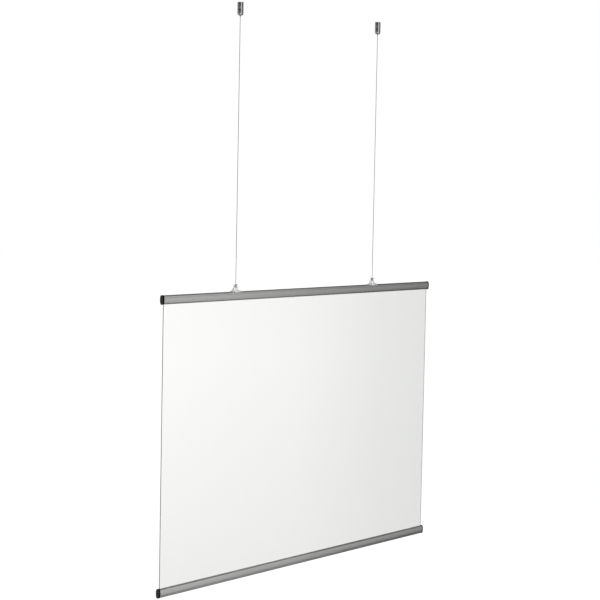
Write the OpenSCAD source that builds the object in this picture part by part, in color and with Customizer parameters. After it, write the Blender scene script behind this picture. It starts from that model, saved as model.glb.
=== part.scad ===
// Hanging room divider panel: a clear sheet between two oval snap rails, hung from the
// ceiling on two steel cables. Millimetres, +Z up, front towards -Y. The origin lies on the
// ceiling plane, midway between the two ceiling fittings.

/* [Panel] */
// Width of the panel over its end caps
panel_w = 1200; // [900:10:2000]
// Height of the panel over its two rails
panel_h = 800; // [400:10:1600]
// Drop from the ceiling to the top of the top rail
drop = 784; // [300:1:2000]
// Distance between the two cables
cable_spacing = 620; // [300:10:900]
// Thickness of the clear sheet
sheet_t = 2; // [1:0.25:2.5]
// Distance from an end cap's outer face to the sheet's side edge
sheet_inset = 6; // [5.5:0.5:12]

/* [Rail section] */
// Height of the oval rail
rail_h = 24.4; // [23:0.2:32]
// Depth of the oval rail, front to back
rail_d = 12; // [12:0.5:15]
// Radius of the rail's top and bottom edges
rail_edge_r = 5; // [4.5:0.25:5.5]
// Radius of the rail's gently crowned faces
rail_face_r = 60; // [50:5:150]
// Wall of the rail's shell
rail_wall = 1.3; // [1.1:0.1:1.5]
// Width of the slot that opens the hanger channel
channel_slot_w = 3.6; // [3:0.1:4.2]
// Height inside the hanger channel, below the shell
channel_h = 2.6; // [2.4:0.1:3.2]
// Thickness of the ribs inside the back extrusion
rib_t = 1.2; // [0.9:0.1:1.4]

/* [Snap cover] */
// Outer radius of the front extrusion's hinge hook
hook_r = 2.5; // [2.3:0.1:2.7]
// Radius of the back extrusion's hinge bead
bead_r = 1.35; // [1.2:0.05:1.45]
// Running clearance between the bead and its hook
hinge_clear = 0.1; // [0.05:0.01:0.15]
// Width of the seam between the fixed shoulder and the hook
seam_gap = 0.2; // [0.15:0.05:0.4]
// How far the front extrusion swings open, in degrees
cover_open = 40; // [25:1:42]
// Radius of the snap arm about the hinge
arm_r = 4.6; // [4.5:0.05:4.8]
// Thickness of the snap arm
arm_t = 1; // [0.7:0.1:1.1]
// Radius of the bead at the end of the snap arm
arm_bead_r = 0.75; // [0.6:0.05:0.8]
// Gap that the snap bead leaves to the nib of its keeper
snap_clear = 0.1; // [0.05:0.05:0.2]

/* [Jaws] */
// Thickness of the jaws that grip the sheet
jaw_t = 1.2; // [0.9:0.1:1.4]
// Height of the front jaw above the rail's lower edge
jaw_h = 4.6; // [3.5:0.1:6]
// Distance from one gripping tooth to the next
tooth_pitch = 0.8; // [0.6:0.05:1.2]
// Depth of the gripping teeth
tooth_depth = 0.35; // [0.2:0.05:0.5]
// Gap between the closed front jaw and the sheet
jaw_clear = 0.1; // [0.05:0.05:0.2]
// Gap between the sheet's edge and the stop that it meets
sheet_clear = 0.3; // [0.1:0.1:1]

/* [End caps] */
// Thickness of an end cap's plate
cap_t = 4.6; // [3.5:0.1:5.2]
// How far the plate stands proud of the rail all round
cap_lip = 0.5; // [0.3:0.1:1]
// Width of the bevel round the plate's outer face
cap_bevel = 0.8; // [0.4:0.1:1.2]
// Width of the rim round the recessed face
cap_rim = 1.6; // [1.2:0.1:2.5]
// Depth of the recessed face
cap_recess = 0.7; // [0.3:0.1:1.5]
// Length of the plugs that push into the rail
plug_l = 10; // [6:0.5:16]
// Clearance round a plug in its cavity
plug_clear = 0.1; // [0.05:0.05:0.2]
// Gap between a cap and the end of the swinging cover
cover_end_gap = 0.3; // [0.2:0.1:1]

/* [Hangers] */
// Length of the hanger's foot plate along the rail
hanger_l = 38; // [32:1:60]
// Thickness of the foot plate above the rail
hanger_plate_t = 2.5; // [2:0.1:4]
// How far the foot plate's skirts reach down the rail's shoulders
hanger_skirt = 1.8; // [1:0.1:2.4]
// Clearance between the foot plate and the rail
hanger_clear = 0.3; // [0.2:0.05:0.5]
// Length of the T foot inside the channel
foot_l = 30; // [20:1:32]
// Clearance of the T foot in the channel
foot_clear = 0.25; // [0.15:0.05:0.35]
// Height of the ball's centre above the rail
ball_rise = 13.4; // [13.2:0.1:24]
// Radius of the hanger's rounded crown
crown_r = 6.5; // [6:0.25:8]
// Depth of the hanger's column, front to back
column_d = 10; // [9.5:0.25:12]
// Thickness of the side webs
web_t = 4; // [3:0.25:6]
// Diameter of the window in each side web
window_d = 2.6; // [2:0.1:2.8]
// Width of the slit that lets the cable in
slit_w = 2.2; // [1.8:0.1:2.8]
// Diameter of the keyhole that lets the ball in
keyhole_d = 7.2; // [6.9:0.1:7.6]
// Distance from the ball's seat down to the keyhole
keyhole_drop = 7.2; // [7:0.1:7.3]

/* [Cables] */
// Diameter of the cable
cable_d = 1.5; // [1:0.1:1.8]
// Diameter of the ball on the cable's lower end
cable_ball_d = 6.5; // [6:0.1:6.8]
// Clearance between a ball and its seat
ball_clear = 0.1; // [0.05:0.01:0.2]
// How far the cable swings fore and aft, in degrees
swing_limit = 12; // [6:1:14]
// How far the cable sways sideways, in degrees
sway_limit = 8; // [4:1:10]
// How far the panel tilts on its cables, in degrees
tilt_limit = 15; // [8:1:18]

/* [Ceiling fittings] */
// Diameter of a ceiling fitting
fitting_d = 16.5; // [16.5:0.5:24]
// Height of the base that is screwed to the ceiling
base_h = 16; // [14:0.5:24]
// Thickness of the base's floor
base_floor_t = 3.2; // [2.6:0.1:5]
// Diameter of the fixing hole in the base
fixing_d = 4.5; // [4:0.1:5]
// Diameter of the fixing hole's countersink
countersink_d = 8.6; // [7:0.2:9.6]
// Diameter of the hole for the pin that turns the base or holds it still
pin_hole_d = 4.4; // [3:0.1:4.8]
// Depth of the pin hole's middle below the ceiling
pin_hole_drop = 5.9; // [5.7:0.1:8]
// Height of the coupler's collar
collar_h = 10.5; // [10.5:0.5:16]
// Diameter of the spigots that join the three parts
spigot_d = 12.4; // [12:0.2:12.6]
// Length of the upper spigot
upper_spigot_l = 7.5; // [6:0.5:7.5]
// Length of the lower spigot
lower_spigot_l = 2.2; // [2:0.1:2.2]
// Bore of the coupler
coupler_bore_d = 9.6; // [9:0.1:10]
// Clearance round a spigot
spigot_clear = 0.1; // [0.05:0.05:0.2]
// Width of the coupler's side hole
side_hole_w = 3.6; // [3:0.1:5]
// Height of the coupler's side hole
side_hole_h = 7.6; // [6:0.1:7.8]
// Distance of the side hole's middle below the top of the collar
side_hole_drop = 6.2; // [5:0.1:6.2]
// Direction of the left fitting's holes, in degrees from the front towards the left
left_hole_turn = 53; // [0:1:180]
// Direction of the right fitting's holes, in degrees from the front towards the left
right_hole_turn = 64; // [0:1:180]
// Height of the nut that carries the ball
nut_h = 9; // [9:0.25:14]
// Radius of the nut's rounded nose
nose_r = 4; // [3:0.25:4]
// Width of the bevels where the turned parts meet
ring_bevel = 0.4; // [0.2:0.1:0.8]

/* [Cable clamp] */
// Diameter of the clamp ball
clamp_ball_d = 8; // [7.4:0.1:8.6]
// Height of the clamp ball's centre above the nut's lower end
clamp_ball_rise = 6.5; // [6:0.1:7]
// Diameter of the clamp's stem
stem_d = 3; // [2.6:0.1:3.2]
// How far the stem comes out of the nut
stem_out = 4; // [1:0.5:8]
// Diameter of the clamp's set screw
clamp_screw_d = 3; // [2.5:0.1:3.4]
// Width across flats of the set screw's socket
clamp_key_af = 1.5; // [1:0.1:1.6]
// Length of cable left above the clamp ball's centre
tail_l = 9; // [5:0.5:12]
// Clearance of the cable in the clamp's bore
bore_clear = 0.05; // [0.02:0.01:0.1]

/* [Hidden] */
$fn = 64;

LEFT = -1;
RIGHT = 1;
past = 1;  // how far a cutter runs past the face it cuts

// Heights of the fittings' joints and of the two balls, from the ceiling down
collar_z = -base_h;
nut_z = collar_z - collar_h;
nose_z = nut_z - nut_h;
clamp_z = nose_z + clamp_ball_rise;
rail_z = -drop;
cable_ball_z = rail_z + ball_rise;
bottom_z = rail_z - panel_h;

fitting_r = fitting_d / 2;
function hole_turn(side) = side == LEFT ? left_hole_turn : right_hole_turn;
spigot_r = spigot_d / 2;
clamp_ball_r = clamp_ball_d / 2;
cable_ball_r = cable_ball_d / 2;
cable_r = cable_d / 2;
stem_r = stem_d / 2;
socket_r = spigot_r + spigot_clear;
coupler_bore_r = coupler_bore_d / 2;

// Oval outline: four edge circles that meet the two face arcs tangentially
edge_z = rail_h / 2 - rail_edge_r;
edge_y = rail_d / 2 - rail_face_r + sqrt(pow(rail_face_r - rail_edge_r, 2) - edge_z * edge_z);
// Depth of the outline's front face at a height measured from the middle of the rail
function face_y(z) = rail_d / 2 - rail_face_r + sqrt(rail_face_r * rail_face_r - z * z);

// Section of the rail, measured from the top of the rail down
channel_top = -rail_wall - 0.2;
channel_floor = channel_top - channel_h;
shoulder_z = channel_floor - rib_t;
hinge_z = shoulder_z - seam_gap - hook_r;
hinge_y = hook_r - face_y(hinge_z + rail_h / 2);
hook_bore_r = bead_r + hinge_clear;
// Half the angle that the bead's web takes up inside the hook
web_angle = asin((rib_t / 2 + hinge_clear) / hook_bore_r);
hook_spare = 2;  // degrees left over at both ends of the hook's mouth
column_y = hinge_y + hook_r + 0.35;
shoulder_tip = 1.1;  // height of the fixed shoulder's thin lip below its rib

// The bead of the snap arm, the path it takes past the keeper's nib, and the keeper
arm_end_angle = -65;
snap_path_r = arm_r + arm_bead_r + snap_clear;
nib_r = 0.3;
nib_angle = arm_end_angle - asin(arm_bead_r / arm_r) - 5;
keeper_r = snap_path_r + nib_r;
nib_y = hinge_y + keeper_r * cos(nib_angle);
keeper_lip_t = 0.5;
stop_z = hinge_z - keeper_r - keeper_lip_t;
sheet_edge_z = stop_z - sheet_clear;

// Lengths along the rail
rail_l = panel_w - 2 * cap_t;
cover_l = rail_l - 2 * cover_end_gap;
sheet_w = panel_w - 2 * sheet_inset;
sheet_h = panel_h + 2 * sheet_edge_z;

// Mouths that let the cable lean: each opens a little wider than the cable's furthest lean
lean_spare = 1.1;
nut_mouth_angle = acos(cos(swing_limit) * cos(sway_limit)) + lean_spare;
crown_mouth_angle = acos(cos(tilt_limit) * cos(sway_limit)) + 2 * lean_spare;

// Lays a section, drawn with Y to the right and Z up, along X
module along_x(length) {
    rotate([90, 0, 90])
        linear_extrude(height = length, center = true)
            children();
}

// Copies its children to one side: a left or a right fitting
module at_cable(side) {
    translate([side * cable_spacing / 2, 0, 0])
        children();
}

// The rail's oval outline with its top at height 0, smaller by inset all round
module oval(inset = 0) {
    tangent_z = edge_z * (rail_face_r - inset) / (rail_face_r - rail_edge_r);
    translate([0, -rail_h / 2]) {
        for (side = [-1, 1], end = [-1, 1])
            translate([side * edge_y, end * edge_z])
                circle(r = rail_edge_r - inset);
        square([2 * edge_y, rail_h - 2 * inset], center = true);
        intersection() {
            square([rail_d - 2 * inset, 2 * tangent_z], center = true);
            translate([rail_face_r - rail_d / 2, 0])
                circle(r = rail_face_r - inset, $fn = 256);
            translate([rail_d / 2 - rail_face_r, 0])
                circle(r = rail_face_r - inset, $fn = 256);
        }
    }
}

// The part of a section between two depths and two heights
module zone(y0, y1, z0, z1) {
    intersection() {
        children();
        translate([y0, z0])
            square([y1 - y0, z1 - z0]);
    }
}

module shell() {
    difference() {
        oval();
        oval(rail_wall);
    }
}

// A slice of a disc about the hinge, from one angle to another, less than half a turn apart
module hinge_slice(radius, from, to) {
    middle = (from + to) / 2;
    translate([hinge_y, hinge_z])
        polygon([[0, 0],
                 radius * [cos(from), sin(from)],
                 radius / cos((to - from) / 2) * [cos(middle), sin(middle)],
                 radius * [cos(to), sin(to)]]);
}

// Notches between the gripping teeth; the teeth's tips stay at depth y
module tooth_notches(y, into) {
    count = floor((jaw_h - tooth_pitch) / tooth_pitch);
    for (i = [1 : count])
        translate([y, -rail_h + i * tooth_pitch])
            polygon([[0, 0], [into * tooth_depth, tooth_pitch * 0.45], [0, tooth_pitch * 0.9]]);
}

// Back extrusion: shell, hanger channel, hinge bead, sheet stop with keeper, and back jaw
module rail_back_section() {
    jaw_y = sheet_t / 2;
    difference() {
        union() {
            zone(-rail_d, rail_d, shoulder_z, 0)
                shell();
            zone(-rail_d, hinge_y, shoulder_z - shoulder_tip, shoulder_z)
                shell();
            zone(jaw_y, rail_d, -rail_h, 0)
                shell();
            // Floor of the channel, and the column that carries the hinge
            zone(-rail_d, rail_d, shoulder_z, channel_floor)
                oval();
            zone(column_y, column_y + rib_t, stop_z, channel_floor)
                oval();
            zone(hinge_y, column_y + rib_t, hinge_z - rib_t / 2, hinge_z + rib_t / 2)
                oval();
            // Stop for the sheet; its front lip is the snap arm's keeper
            zone(nib_y - nib_r / 2, rail_d, stop_z, stop_z + 2 * rib_t)
                oval();
            zone(jaw_y, jaw_y + jaw_t, -rail_h, stop_z)
                oval();
        }
        // Slot over the channel
        translate([-channel_slot_w / 2, channel_floor])
            square([channel_slot_w, -channel_floor + past]);
        // Room for the hook and the snap arm, leaving the web, the column and the keeper
        difference() {
            translate([hinge_y, hinge_z])
                circle(r = hook_r + seam_gap);
            translate([hinge_y, hinge_z - rib_t / 2])
                square([rail_d, rib_t]);
            translate([column_y, hinge_z - rail_h])
                square([rail_d, 2 * rail_h]);
        }
        intersection() {
            translate([hinge_y, hinge_z])
                circle(r = keeper_r);
            translate([-rail_d, hinge_z - rail_h])
                square([rail_d + column_y, rail_h - rib_t / 2]);
        }
        tooth_notches(jaw_y, 1);
    }
    translate([hinge_y, hinge_z])
        circle(r = bead_r);
    translate([nib_y, hinge_z + keeper_r * sin(nib_angle)])
        circle(r = nib_r, $fn = 24);
}

// Front extrusion: hinge hook, crowned face, snap arm and front jaw
module rail_front_section() {
    jaw_y = -sheet_t / 2 - jaw_clear;
    difference() {
        union() {
            translate([hinge_y, hinge_z])
                circle(r = hook_r);
            zone(-rail_d, jaw_y, -rail_h, hinge_z)
                shell();
            zone(jaw_y - jaw_t, jaw_y, -rail_h, -rail_h + jaw_h)
                oval();
            intersection() {
                oval();
                difference() {
                    translate([hinge_y, hinge_z])
                        circle(r = arm_r + arm_t / 2);
                    translate([hinge_y, hinge_z])
                        circle(r = arm_r - arm_t / 2);
                }
                hinge_slice(2 * arm_r, -125, arm_end_angle);
            }
            translate([hinge_y + arm_r * cos(arm_end_angle), hinge_z + arm_r * sin(arm_end_angle)])
                circle(r = arm_bead_r, $fn = 32);
        }
        translate([hinge_y, hinge_z])
            circle(r = hook_bore_r);
        // Mouth of the hook: room for the bead's web from closed to fully open
        hinge_slice(hook_r + past, -web_angle - hook_spare, web_angle + hook_spare + cover_open);
        tooth_notches(jaw_y, -1);
    }
}

// Turned base: a cup with a countersunk fixing hole in its floor
module ceiling_base(side) {
    color("silver")
        at_cable(side)
            difference() {
                turned_ring(fitting_r, collar_z, 0);
                translate([0, 0, collar_z - past])
                    cylinder(r = socket_r, h = base_h - base_floor_t + past);
                translate([0, 0, -base_floor_t - past])
                    cylinder(d = fixing_d, h = base_floor_t + 2 * past);
                translate([0, 0, -base_floor_t - past])
                    cylinder(d1 = countersink_d + 2 * past, d2 = 0,
                             h = countersink_d / 2 + past);
                rotate([0, 0, -hole_turn(side)])
                    translate([0, 0, -pin_hole_drop])
                        rotate([90, 0, 0])
                            cylinder(d = pin_hole_d, h = fitting_r + past);
            }
}

// A turned bar with a small bevel at both ends
module turned_ring(radius, low, high) {
    rotate_extrude()
        polygon([[0, low], [radius - ring_bevel, low], [radius, low + ring_bevel],
                 [radius, high - ring_bevel], [radius - ring_bevel, high], [0, high]]);
}

// Middle part: collar with a spigot at each end, a bore and the side hole
module coupler(side) {
    hole_z = collar_z - side_hole_drop;
    color("silver")
        at_cable(side)
            difference() {
                union() {
                    turned_ring(fitting_r, nut_z, collar_z);
                    turned_ring(spigot_r, nut_z - lower_spigot_l, collar_z + upper_spigot_l);
                }
                translate([0, 0, nut_z - lower_spigot_l - past])
                    cylinder(r = coupler_bore_r, h = base_h + collar_h + lower_spigot_l);
                rotate([0, 0, -hole_turn(side)])
                    translate([0, 0, hole_z])
                        rotate([90, 0, 0])
                            side_hole(side_hole_w / 2, side_hole_h / 2, fitting_r + past);
            }
}

// An upright hole with round ends
module side_hole(half_w, half_h, depth) {
    for (end = [-1, 1])
        translate([0, end * (half_h - half_w), 0])
            cylinder(r = half_w, h = depth);
    translate([-half_w, half_w - half_h, 0])
        cube([2 * half_w, 2 * (half_h - half_w), depth]);
}

// Lower part: a cup with the ball's round seat, a rounded nose and a flared mouth
module ball_nut(side) {
    seat_r = clamp_ball_r + ball_clear;
    seat_depth = lower_spigot_l + 0.2;
    mouth_r = stem_r + ball_clear;
    color("silver")
        at_cable(side)
            difference() {
                rotate_extrude() {
                    polygon([[0, nose_z], [fitting_r - nose_r, nose_z],
                             [fitting_r - nose_r, nose_z + nose_r],
                             [fitting_r, nose_z + nose_r], [fitting_r, nut_z - ring_bevel],
                             [fitting_r - ring_bevel, nut_z], [0, nut_z]]);
                    translate([fitting_r - nose_r, nose_z + nose_r])
                        circle(r = nose_r);
                }
                translate([0, 0, nut_z - seat_depth])
                    cylinder(r = socket_r, h = seat_depth + past);
                translate([0, 0, clamp_z])
                    cylinder(r = coupler_bore_r, h = nut_h);
                translate([0, 0, clamp_z])
                    sphere(r = seat_r);
                translate([0, 0, nose_z - past])
                    cylinder(r1 = mouth_r + (clamp_ball_rise + past) * tan(nut_mouth_angle),
                             r2 = mouth_r, h = clamp_ball_rise + past);
            }
}

module clamp_ball(side) {
    color("gray")
        at_cable(side)
            translate([0, 0, clamp_z])
                difference() {
                    sphere(r = clamp_ball_r);
                    cylinder(r = cable_r + bore_clear, h = 3 * clamp_ball_r, center = true);
                    rotate([90, 0, -hole_turn(side)])
                        cylinder(d = clamp_screw_d, h = 2 * clamp_ball_r);
                }
}

// Set screw with a hexagon socket, lying towards the side hole
module clamp_screw(side) {
    tip = cable_r + bore_clear;
    screw_r = clamp_screw_d / 2;
    head = sqrt(clamp_ball_r * clamp_ball_r - screw_r * screw_r);
    color("dimgray")
        at_cable(side)
            translate([0, 0, clamp_z])
                rotate([90, 0, -hole_turn(side)])
                    translate([0, 0, tip])
                        difference() {
                            cylinder(r = screw_r - bore_clear, h = head - tip);
                            translate([0, 0, (head - tip) / 2])
                                cylinder(d = clamp_key_af / cos(30), h = head, $fn = 6);
                        }
}

module cable_tail(side) {
    low = -sqrt(clamp_ball_r * clamp_ball_r - cable_r * cable_r);
    color("lightgray")
        at_cable(side)
            translate([0, 0, clamp_z + low])
                cylinder(r = cable_r, h = tail_l - low);
}

// The clamp ball's stem, cut off just under the ball so that it can lean with the cable
module clamp_stem(side) {
    top = clamp_z - clamp_ball_r - ball_clear;
    low = nose_z - stem_out;
    color("gray")
        at_cable(side)
            difference() {
                rotate_extrude()
                    polygon([[0, low], [stem_r - ring_bevel, low], [stem_r, low + ring_bevel],
                             [stem_r, top], [0, top]]);
                translate([0, 0, low - past])
                    cylinder(r = cable_r + bore_clear, h = top - low + 2 * past);
            }
}

module cable(side) {
    top = clamp_z - clamp_ball_r - ball_clear;
    low = cable_ball_z + cable_ball_r + ball_clear;
    color("lightgray")
        at_cable(side)
            translate([0, 0, low])
                cylinder(r = cable_r, h = top - low);
}

module cable_ball(side) {
    color("dimgray")
        at_cable(side)
            translate([0, 0, cable_ball_z])
                sphere(r = cable_ball_r);
}

// Clear hanger: T foot and foot plate on the rail, column with the ball's keyhole, side webs
module hanger(side) {
    seat_r = cable_ball_r + ball_clear;
    plate_top = hanger_plate_t;
    web_reach = foot_l / 2;
    web_top = ball_rise - crown_r * 0.35;
    window_x = (crown_r + web_reach) / 2;
    color("lightcyan", 0.6)
        at_cable(side)
            translate([0, 0, rail_z])
                difference() {
                    union() {
                        along_x(hanger_l)
                            foot_plate_section();
                        along_x(foot_l)
                            t_foot_section();
                        translate([-crown_r, -column_d / 2, plate_top - past])
                            cube([2 * crown_r, column_d, ball_rise - plate_top + past]);
                        translate([0, 0, ball_rise])
                            rotate([90, 0, 0])
                                cylinder(r = crown_r, h = column_d, center = true);
                        rotate([90, 0, 0])
                            linear_extrude(height = web_t, center = true)
                                polygon([[-web_reach, plate_top - past], [web_reach, plate_top - past],
                                         [web_reach, plate_top + past], [crown_r, web_top],
                                         [-crown_r, web_top], [-web_reach, plate_top + past]]);
                    }
                    for (end = [-1, 1])
                        translate([end * window_x, 0, plate_top + window_d / 2 + 0.9])
                            rotate([90, 0, 0])
                                cylinder(d = window_d, h = 2 * web_t, center = true);
                    translate([0, 0, ball_rise])
                        sphere(r = seat_r);
                    translate([0, 0, ball_rise - keyhole_drop])
                        cylinder(r = seat_r, h = keyhole_drop);
                    translate([0, 0, ball_rise - keyhole_drop])
                        rotate([90, 0, 0])
                            cylinder(d = keyhole_d, h = column_d / 2 + past);
                    translate([0, 0, ball_rise - keyhole_drop])
                        sphere(r = seat_r);
                    translate([-slit_w / 2, -column_d / 2 - past, ball_rise - keyhole_drop])
                        cube([slit_w, column_d / 2 + past, keyhole_drop + crown_r + past]);
                    translate([0, 0, ball_rise])
                        cylinder(r1 = slit_w / 2,
                                 r2 = slit_w / 2 + (crown_r + past) * tan(crown_mouth_angle),
                                 h = crown_r + past);
                }
}

// Foot plate whose underside follows the rail's shoulders
module foot_plate_section() {
    difference() {
        zone(-rail_d / 2, rail_d / 2, -hanger_skirt, hanger_plate_t)
            oval(-hanger_plate_t);
        oval(-hanger_clear);
    }
}

// T foot: a neck through the slot and an arched foot in the channel
module t_foot_section() {
    neck = channel_slot_w / 2 - foot_clear;
    zone(-rail_d, rail_d, channel_floor + foot_clear, 0)
        oval(rail_wall + foot_clear);
    translate([-neck, channel_floor + foot_clear])
        square([2 * neck, hanger_plate_t - channel_floor - foot_clear]);
}

module rail_back(top) {
    color("darkgray")
        place_rail(top)
            along_x(rail_l)
                rail_back_section();
}

module rail_front(top) {
    color("darkgray")
        place_rail(top)
            along_x(cover_l)
                rail_front_section();
}

// The top rail hangs down from its top edge; the bottom rail is the same one, end for end
module place_rail(top) {
    if (top)
        translate([0, 0, rail_z])
            children();
    else
        translate([0, 0, bottom_z])
            rotate([0, 180, 0])
                children();
}

// Black cap: a bevelled oval plate with a recessed face, and three plugs into the rail
module end_cap(top, side) {
    plate_y = panel_w / 2 - cap_t;
    plug_inset = rail_wall + plug_clear;
    back_room = column_y + rib_t + plug_clear;
    // Turning the bottom rail end for end swaps its sides, so there the other cap is mirrored
    color("black")
        place_rail(top)
            mirror([(side == RIGHT) == top ? 0 : 1, 0, 0]) {
                difference() {
                    hull() {
                        slab(plate_y, cap_t - cap_bevel)
                            oval(-cap_lip, $fn = 32);
                        slab(plate_y, cap_t)
                            oval(cap_bevel - cap_lip, $fn = 32);
                    }
                    slab(panel_w / 2 - cap_recess, cap_recess + past)
                        oval(cap_rim - cap_lip);
                }
                slab(plate_y - plug_l, plug_l + past)
                    zone(-rail_d, rail_d, channel_floor + plug_clear, channel_top)
                        oval(plug_inset);
                slab(plate_y - plug_l, plug_l + past)
                    zone(back_room, rail_d, stop_z + 2 * rib_t + plug_clear,
                         shoulder_z - plug_clear)
                        oval(plug_inset);
                slab(plate_y - plug_l, plug_l + past)
                    zone(sheet_t / 2 + jaw_t + plug_clear, rail_d, -rail_h, stop_z - plug_clear)
                        oval(plug_inset);
            }
}

// A section laid along X from one place, with a given length
module slab(start, length) {
    translate([start + length / 2, 0, 0])
        along_x(length)
            children();
}

module panel_sheet() {
    color("azure", 0.25)
        translate([-sheet_w / 2, -sheet_t / 2, rail_z + sheet_edge_z - sheet_h])
            cube([sheet_w, sheet_t, sheet_h]);
}

ceiling_base(LEFT);  // ceiling_base_left
ceiling_base(RIGHT);  // ceiling_base_right
coupler(LEFT);  // coupler_left
coupler(RIGHT);  // coupler_right
ball_nut(LEFT);  // ball_nut_left
ball_nut(RIGHT);  // ball_nut_right
clamp_ball(LEFT);  // clamp_ball_left
clamp_ball(RIGHT);  // clamp_ball_right
clamp_screw(LEFT);  // clamp_screw_left
clamp_screw(RIGHT);  // clamp_screw_right
cable_tail(LEFT);  // cable_tail_left
cable_tail(RIGHT);  // cable_tail_right
clamp_stem(LEFT);  // clamp_stem_left
clamp_stem(RIGHT);  // clamp_stem_right
cable(LEFT);  // cable_left
cable(RIGHT);  // cable_right
cable_ball(LEFT);  // cable_ball_left
cable_ball(RIGHT);  // cable_ball_right
hanger(LEFT);  // hanger_left
hanger(RIGHT);  // hanger_right
rail_back(true);  // top_rail_back
rail_front(true);  // top_rail_front
rail_back(false);  // bottom_rail_back
rail_front(false);  // bottom_rail_front
end_cap(true, LEFT);  // cap_top_left
end_cap(true, RIGHT);  // cap_top_right
end_cap(false, LEFT);  // cap_bottom_left
end_cap(false, RIGHT);  // cap_bottom_right
panel_sheet();
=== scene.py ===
"""Hanging divider panel: the looks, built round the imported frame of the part.

A clear sheet between two oval snap rails hangs on two stranded cables from chrome ceiling
fittings. Every length is in metres, in the frame's own coordinates: front towards -Y, +Z up,
origin on the ceiling plane midway between the fittings.
"""

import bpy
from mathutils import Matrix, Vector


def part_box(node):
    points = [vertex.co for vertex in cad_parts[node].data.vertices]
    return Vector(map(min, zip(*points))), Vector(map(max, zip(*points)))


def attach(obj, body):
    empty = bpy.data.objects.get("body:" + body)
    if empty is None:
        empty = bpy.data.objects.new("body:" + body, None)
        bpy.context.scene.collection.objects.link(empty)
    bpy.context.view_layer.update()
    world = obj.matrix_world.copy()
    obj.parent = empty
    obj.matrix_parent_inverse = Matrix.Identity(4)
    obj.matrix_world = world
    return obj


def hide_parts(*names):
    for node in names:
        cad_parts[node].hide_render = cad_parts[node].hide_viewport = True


bl_info = {
    "name": "Hanging Divider Panel",
    "version": (1, 0, 0),
    "blender": (4, 5, 0),
    "location": "3D View > Sidebar > Divider",
    "description": "Dresses the packed frame of a hanging clear divider panel",
    "category": "Object",
}

from math import asin, atan2, cos, degrees, pi, radians, sin, sqrt, tan, tau

import bmesh
import bpy
from bpy.props import FloatProperty, FloatVectorProperty, IntProperty, PointerProperty
from bpy.types import Operator, Panel, PropertyGroup
from mathutils import Matrix, Vector
from mathutils.geometry import delaunay_2d_cdt, tessellate_polygon

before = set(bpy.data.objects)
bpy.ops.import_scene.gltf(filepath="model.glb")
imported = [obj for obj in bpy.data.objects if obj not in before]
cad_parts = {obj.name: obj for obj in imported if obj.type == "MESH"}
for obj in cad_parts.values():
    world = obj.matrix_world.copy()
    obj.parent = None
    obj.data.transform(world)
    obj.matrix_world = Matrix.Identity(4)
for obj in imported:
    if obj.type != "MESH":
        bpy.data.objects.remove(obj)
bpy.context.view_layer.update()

SIDES = {"left": -1, "right": 1}
# The middle of each cable, along the panel
CABLE_X = {side: sum(c.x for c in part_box("cable_" + side)) / 2 for side in SIDES}
RAIL_LENGTH, COVER_LENGTH = (
    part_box(node)[1].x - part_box(node)[0].x for node in ("top_rail_back", "top_rail_front"))
PANEL_WIDTH = 2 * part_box("cap_top_right")[1].x
# The caps stand proud of the rails by their lip
CAP_LIP = 0.0005
RAIL_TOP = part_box("cap_top_right")[1].z - CAP_LIP
RAIL_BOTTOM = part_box("cap_bottom_right")[0].z + CAP_LIP
FITTING_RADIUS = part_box("coupler_left")[1].y
FITTING_LENGTH = -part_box("ball_nut_left")[0].z
SHEET_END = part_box("panel_sheet")[1].x
BALL_LOW, BALL_HIGH = (corner.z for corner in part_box("cable_ball_left"))
BALL_Z, BALL_RADIUS = (BALL_LOW + BALL_HIGH) / 2, (BALL_HIGH - BALL_LOW) / 2


# ---------------- settings


def length(name, metres, description):
    return FloatProperty(name=name, description=description, default=metres, min=0.0,
                         precision=5, unit="LENGTH", subtype="DISTANCE")


def angle(name, turn, description):
    return FloatProperty(name=name, description=description, default=radians(turn),
                         unit="ROTATION", subtype="ANGLE")


def share(name, value, description, top=1.0):
    return FloatProperty(name=name, description=description, default=value, min=0.0, max=top,
                         subtype="FACTOR")


def tone(name, colour, description):
    return FloatVectorProperty(name=name, description=description, default=colour, size=3,
                               min=0.0, max=1.0, subtype="COLOR")


class RailSettings(PropertyGroup):
    """Sizes of the two extrusions of a snap rail"""

    height: length("Height", 0.0244, "Height of the oval rail")
    depth: length("Depth", 0.012, "Depth of the oval rail, front to back")
    edge_r: length("Edge radius", 0.005, "Radius of the rail's top and bottom edges")
    face_r: length("Face radius", 0.06, "Radius of the crowned faces")
    wall: length("Wall", 0.0013, "Wall of the rail's shell")
    slot_w: length("Slot", 0.0036, "Width of the slot over the hanger channel")
    channel_h: length("Channel", 0.0026, "Height inside the hanger channel")
    rib: length("Ribs", 0.0012, "Thickness of the inner ribs")
    hook_r: length("Hook", 0.0025, "Outer radius of the front extrusion's hinge hook")
    bead_r: length("Bead", 0.00135, "Radius of the back extrusion's hinge bead")
    gap: length("Running gap", 0.0001, "Clearance of the hinge and of the snap")
    seam: length("Seam", 0.0002, "Width of the seam between the shoulder and the hook")
    cover_open: angle("Opening", 40.0, "How far the front extrusion swings")
    arm_r: length("Snap arm radius", 0.0046, "Radius of the snap arm about the hinge")
    arm_t: length("Snap arm", 0.001, "Thickness of the snap arm")
    arm_bead: length("Snap bead", 0.00075, "Radius of the bead at the end of the snap arm")
    jaw_t: length("Jaw", 0.0012, "Thickness of the jaws")
    jaw_h: length("Jaw height", 0.0046, "Height of the front jaw")
    tooth_pitch: length("Tooth pitch", 0.0008, "Distance between the jaws' teeth")
    tooth_depth: length("Tooth depth", 0.00035, "Depth of the jaws' teeth")
    soft: length("Corner", 0.00012, "Radius of the extrusions' corners")


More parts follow.
